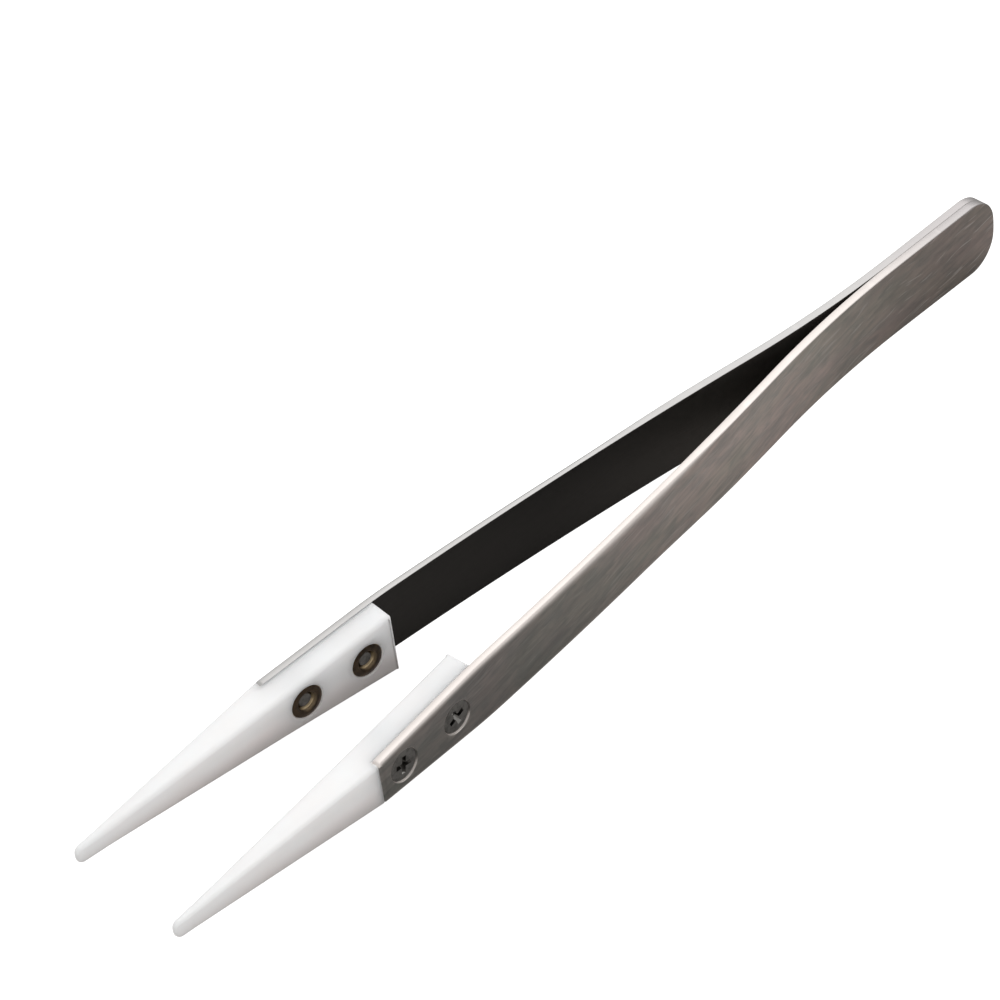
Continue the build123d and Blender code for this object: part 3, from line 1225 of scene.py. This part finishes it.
@dataclass
class Screw:
    """Countersunk screw with a cross recess, its head a little below the arm's face."""

    side: Side
    place: str
    turn: float
    seat: Seat = Seat()
    radius: float = 1.0
    head: float = 1.9
    rim: float = 0.1
    sunk: float = 0.1
    length: float = 3.35
    recess_length: float = 2.1
    recess_width: float = 0.54
    recess_depth: float = 0.7
    thread_pitch: float = 0.24
    thread_depth: float = 0.09
    turns: int = 56
    finish: Finish = field(default_factory=ScrewSteel)

    def frame(self) -> Matrix:
        """Frame of the head's top, its Z out through the arm."""
        out = self.seat.blade.thickness - self.sunk
        return out_axis(self.seat, self.seat.holes[self.place], out, 1.0) @ Matrix.Rotation(self.turn, 4, "Z")

    def build(self) -> bpy.types.Object:
        """Builds the screw, with its thread and its recess."""
        cone = self.head - self.radius
        outline = [(self.radius - 0.25, -self.length), (self.radius - 0.02, -self.length + 0.22)]
        height = -self.length + 0.32
        while height < -self.rim - cone - 0.2:
            root = (self.radius - self.thread_depth, height + self.thread_pitch / 2)
            outline += [(self.radius, height), root]
            height += self.thread_pitch
        outline += [(self.radius, -self.rim - cone), (self.head, -self.rim),
                    (self.head - 0.04, -0.045), (self.head - 0.14, -0.01), (self.head - 0.3, 0.0)]
        name = f"{self.side.word}_{self.place}_countersunk_screw"
        screw = turned(outline, self.frame(), self.turns).piece(name)
        cut(screw, [self.wing(0.0), self.wing(math.pi / 2), self.well()])
        return mirrored(screw, self.side)

    def wing(self, angle: float) -> bpy.types.Object:
        """One of the recess's two crossed slots, narrower at its bottom.

        Args:
            angle: How far it is turned.

        Returns:
            The slot's shape, to be cut away.
        """
        skin = Skin()
        frame = self.frame() @ Matrix.Rotation(angle, 4, "Z")
        rows = []
        for share, height in ((1.0, 0.2), (1.0, 0.0), (0.82, -0.35), (0.45, -self.recess_depth)):
            a = self.recess_length / 2 * share
            b = self.recess_width / 2 * (0.55 + 0.45 * share)
            corners = ((a, b), (-a, b), (-a, -b), (a, -b))
            rows.append(skin.row([frame @ (Vector((x, y, height)) * MM) for x, y in corners]))
        for low, high in zip(rows, rows[1:]):
            skin.band(low, high)
        skin.faces.append(tuple(rows[0]))
        skin.faces.append(tuple(reversed(rows[-1])))
        return skin.piece("wing")

    def well(self) -> bpy.types.Object:
        """The round middle of the recess."""
        outline = [(0.1, -self.recess_depth - 0.15), (0.3, -self.recess_depth), (0.42, -0.1), (0.5, 0.2)]
        return turned(outline, self.frame(), 24).piece("well")

    def assemble(self) -> bpy.types.Object:
        """Builds, dresses and hangs the screw on its tip's body."""
        screw = self.build()
        dress(screw, self.finish)
        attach(screw, self.side.word + "_tip")
        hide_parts(f"{self.side.word}_{self.place}_screw")
        return screw


@dataclass
class Nut:
    """Sleeve nut with a round flange, sunk in the ceramic's inner face."""

    side: Side
    place: str
    seat: Seat = Seat()
    flange: float = 1.95
    flange_thickness: float = 0.7
    barrel: float = 1.45
    barrel_length: float = 1.9
    bore: float = 1.03
    mouth: float = 0.2
    sunk: float = 0.05
    block: float = 2.95
    thread_pitch: float = 0.24
    thread_depth: float = 0.09
    turns: int = 56
    finish: Finish = field(default_factory=NutBronze)

    def build(self) -> bpy.types.Object:
        """Builds the nut, with the thread in its bore."""
        axis = out_axis(self.seat, self.seat.holes[self.place], self.sunk - self.block, -1.0)
        end = -self.flange_thickness - self.barrel_length
        outline = [(self.bore + 0.05, end), (self.barrel - 0.06, end), (self.barrel, end + 0.06),
                   (self.barrel, -self.flange_thickness), (self.flange, -self.flange_thickness),
                   (self.flange, -0.2), (self.flange - 0.04, -0.13), (self.flange - 0.18, -0.08),
                   (self.flange - 0.42, -0.02), (self.bore + self.mouth + 0.06, 0.0),
                   (self.bore + self.mouth + 0.02, -0.02),
                   (self.bore + 0.02, -self.mouth)]
        height = -self.mouth - 0.08
        while height > end + 0.2:
            root = (self.bore + self.thread_depth, height - self.thread_pitch / 2)
            outline += [(self.bore, height), root]
            height -= self.thread_pitch
        nut = turned(outline, axis, self.turns, ring=True).piece(f"{self.side.word}_{self.place}_sleeve_nut")
        return mirrored(nut, self.side)

    def assemble(self) -> bpy.types.Object:
        """Builds, dresses and hangs the nut on its tip's body."""
        nut = self.build()
        dress(nut, self.finish)
        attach(nut, self.side.word + "_tip")
        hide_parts(f"{self.side.word}_{self.place}_nut")
        return nut


@dataclass
class Studio:
    """Pale floor, soft light and the camera."""

    floor_half: float = 4.0
    lens: float = 126.0
    sensor: float = 36.0
    eye: tuple[float, float, float] = (0.17971, 0.199139, 0.253549)
    right: tuple[float, float, float] = (-0.70287, 0.704952, -0.094958)
    up: tuple[float, float, float] = (-0.527765, -0.427326, 0.734069)
    back: tuple[float, float, float] = (0.476905, 0.56607, 0.672403)
    key_place: tuple[float, float, float] = (-0.27, -0.08, 0.50)
    key_size: float = 0.8
    key_power: float = 1.5
    sky_top: float = 0.9
    sky_strengths: tuple[float, float] = (0.92, 0.76)
    finish: Finish = field(default_factory=FloorPaint)

    def floor(self) -> bpy.types.Object:
        """Lays the floor under the object."""
        skin = Skin()
        h = self.floor_half
        ends = [Vector((x, y, 0.0)) for x, y in ((-h, -h), (h, -h), (h, h), (-h, h))]
        skin.faces.append(tuple(skin.row(ends)))
        floor = skin.piece("studio_floor")
        floor.data.materials.append(self.finish.material())
        floor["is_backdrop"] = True
        return floor

    def camera(self) -> bpy.types.Object:
        """Stands the camera where the photograph was taken from."""
        data = bpy.data.cameras.new("camera")
        data.sensor_width = self.sensor
        data.lens = self.lens
        data.clip_start = 0.01
        data.clip_end = 50.0
        camera = bpy.data.objects.new("camera", data)
        bpy.context.scene.collection.objects.link(camera)
        turn = Matrix((self.right, self.up, self.back)).transposed().to_4x4()
        turn.translation = self.eye
        camera.matrix_world = turn
        bpy.context.scene.camera = camera
        return camera

    def softbox(self) -> bpy.types.Object:
        """Hangs a square light over the object that faces it."""
        data = bpy.data.lights.new("key", "AREA")
        data.shape = "SQUARE"
        data.size = self.key_size
        data.energy = self.key_power
        light = bpy.data.objects.new("key", data)
        light.location = self.key_place
        light.rotation_euler = (-Vector(self.key_place)).to_track_quat("-Z", "Y").to_euler()
        bpy.context.scene.collection.objects.link(light)
        return light

    def sky(self) -> bpy.types.World:
        """Surrounds the scene with a soft light that is brighter above."""
        world = bpy.data.worlds.new("studio")
        world.use_nodes = True
        tree = world.node_tree
        background = tree.nodes["Background"]
        spot = tree.nodes.new("ShaderNodeTexCoord")
        parts = tree.nodes.new("ShaderNodeSeparateXYZ")
        tree.links.new(spot.outputs["Generated"], parts.inputs[0])
        grade = tree.nodes.new("ShaderNodeMapRange")
        for target, value in zip(grade.inputs[1:5], (0.0, self.sky_top, *self.sky_strengths)):
            target.default_value = value
        tree.links.new(parts.outputs[2], grade.inputs[0])
        seen = tree.nodes.new("ShaderNodeLightPath")
        lift = tree.nodes.new("ShaderNodeMath")
        lift.operation = "MAXIMUM"
        tree.links.new(grade.outputs[0], lift.inputs[0])
        tree.links.new(seen.outputs["Is Camera Ray"], lift.inputs[1])
        tree.links.new(lift.outputs[0], background.inputs["Strength"])
        background.inputs["Color"].default_value = (1.0, 1.0, 1.0, 1.0)
        bpy.context.scene.world = world
        return world

    def assemble(self) -> None:
        """Sets up floor, light and camera."""
        self.floor()
        self.sky()
        self.softbox()
        self.camera()
        settings = bpy.context.scene.view_settings
        settings.view_transform = "Standard"
        settings.look = "None"


@dataclass
class Tweezers:
    """The whole object: two arms, two ceramic tips and their fasteners."""

    turns: dict[str, float] = field(default_factory=lambda: {"rear": 0.35, "front": -0.2})

    def pieces(self) -> list[Arm | CeramicTip | Screw | Nut]:
        """Every piece, in the order in which the object is put together."""
        made: list[Arm | CeramicTip | Screw | Nut] = []
        for side in Side:
            made += [Arm(side), CeramicTip(side)]
            for place, turn in self.turns.items():
                made += [Nut(side, place), Screw(side, place, turn)]
        return made

    def assemble(self) -> None:
        """Builds every piece and reports it."""
        for piece in self.pieces():
            solid = piece.assemble()
            LOG.info("%s: %d faces", solid.name, len(solid.data.polygons))


def corners(bounds: object) -> list[list[float]]:
    """A box's two corners as plain lists of numbers."""
    return [[float(value) for value in corner] for corner in bounds]


def main() -> None:
    """Builds the object in its studio."""
    logging.basicConfig(level=logging.INFO, format="%(message)s")
    drawn = corners(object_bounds())
    Tweezers().assemble()
    Studio().assemble()
    shown = corners(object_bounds())
    LOG.info("CAD box %s, visual box %s", drawn, shown)


if __name__ == "__main__":
    main()
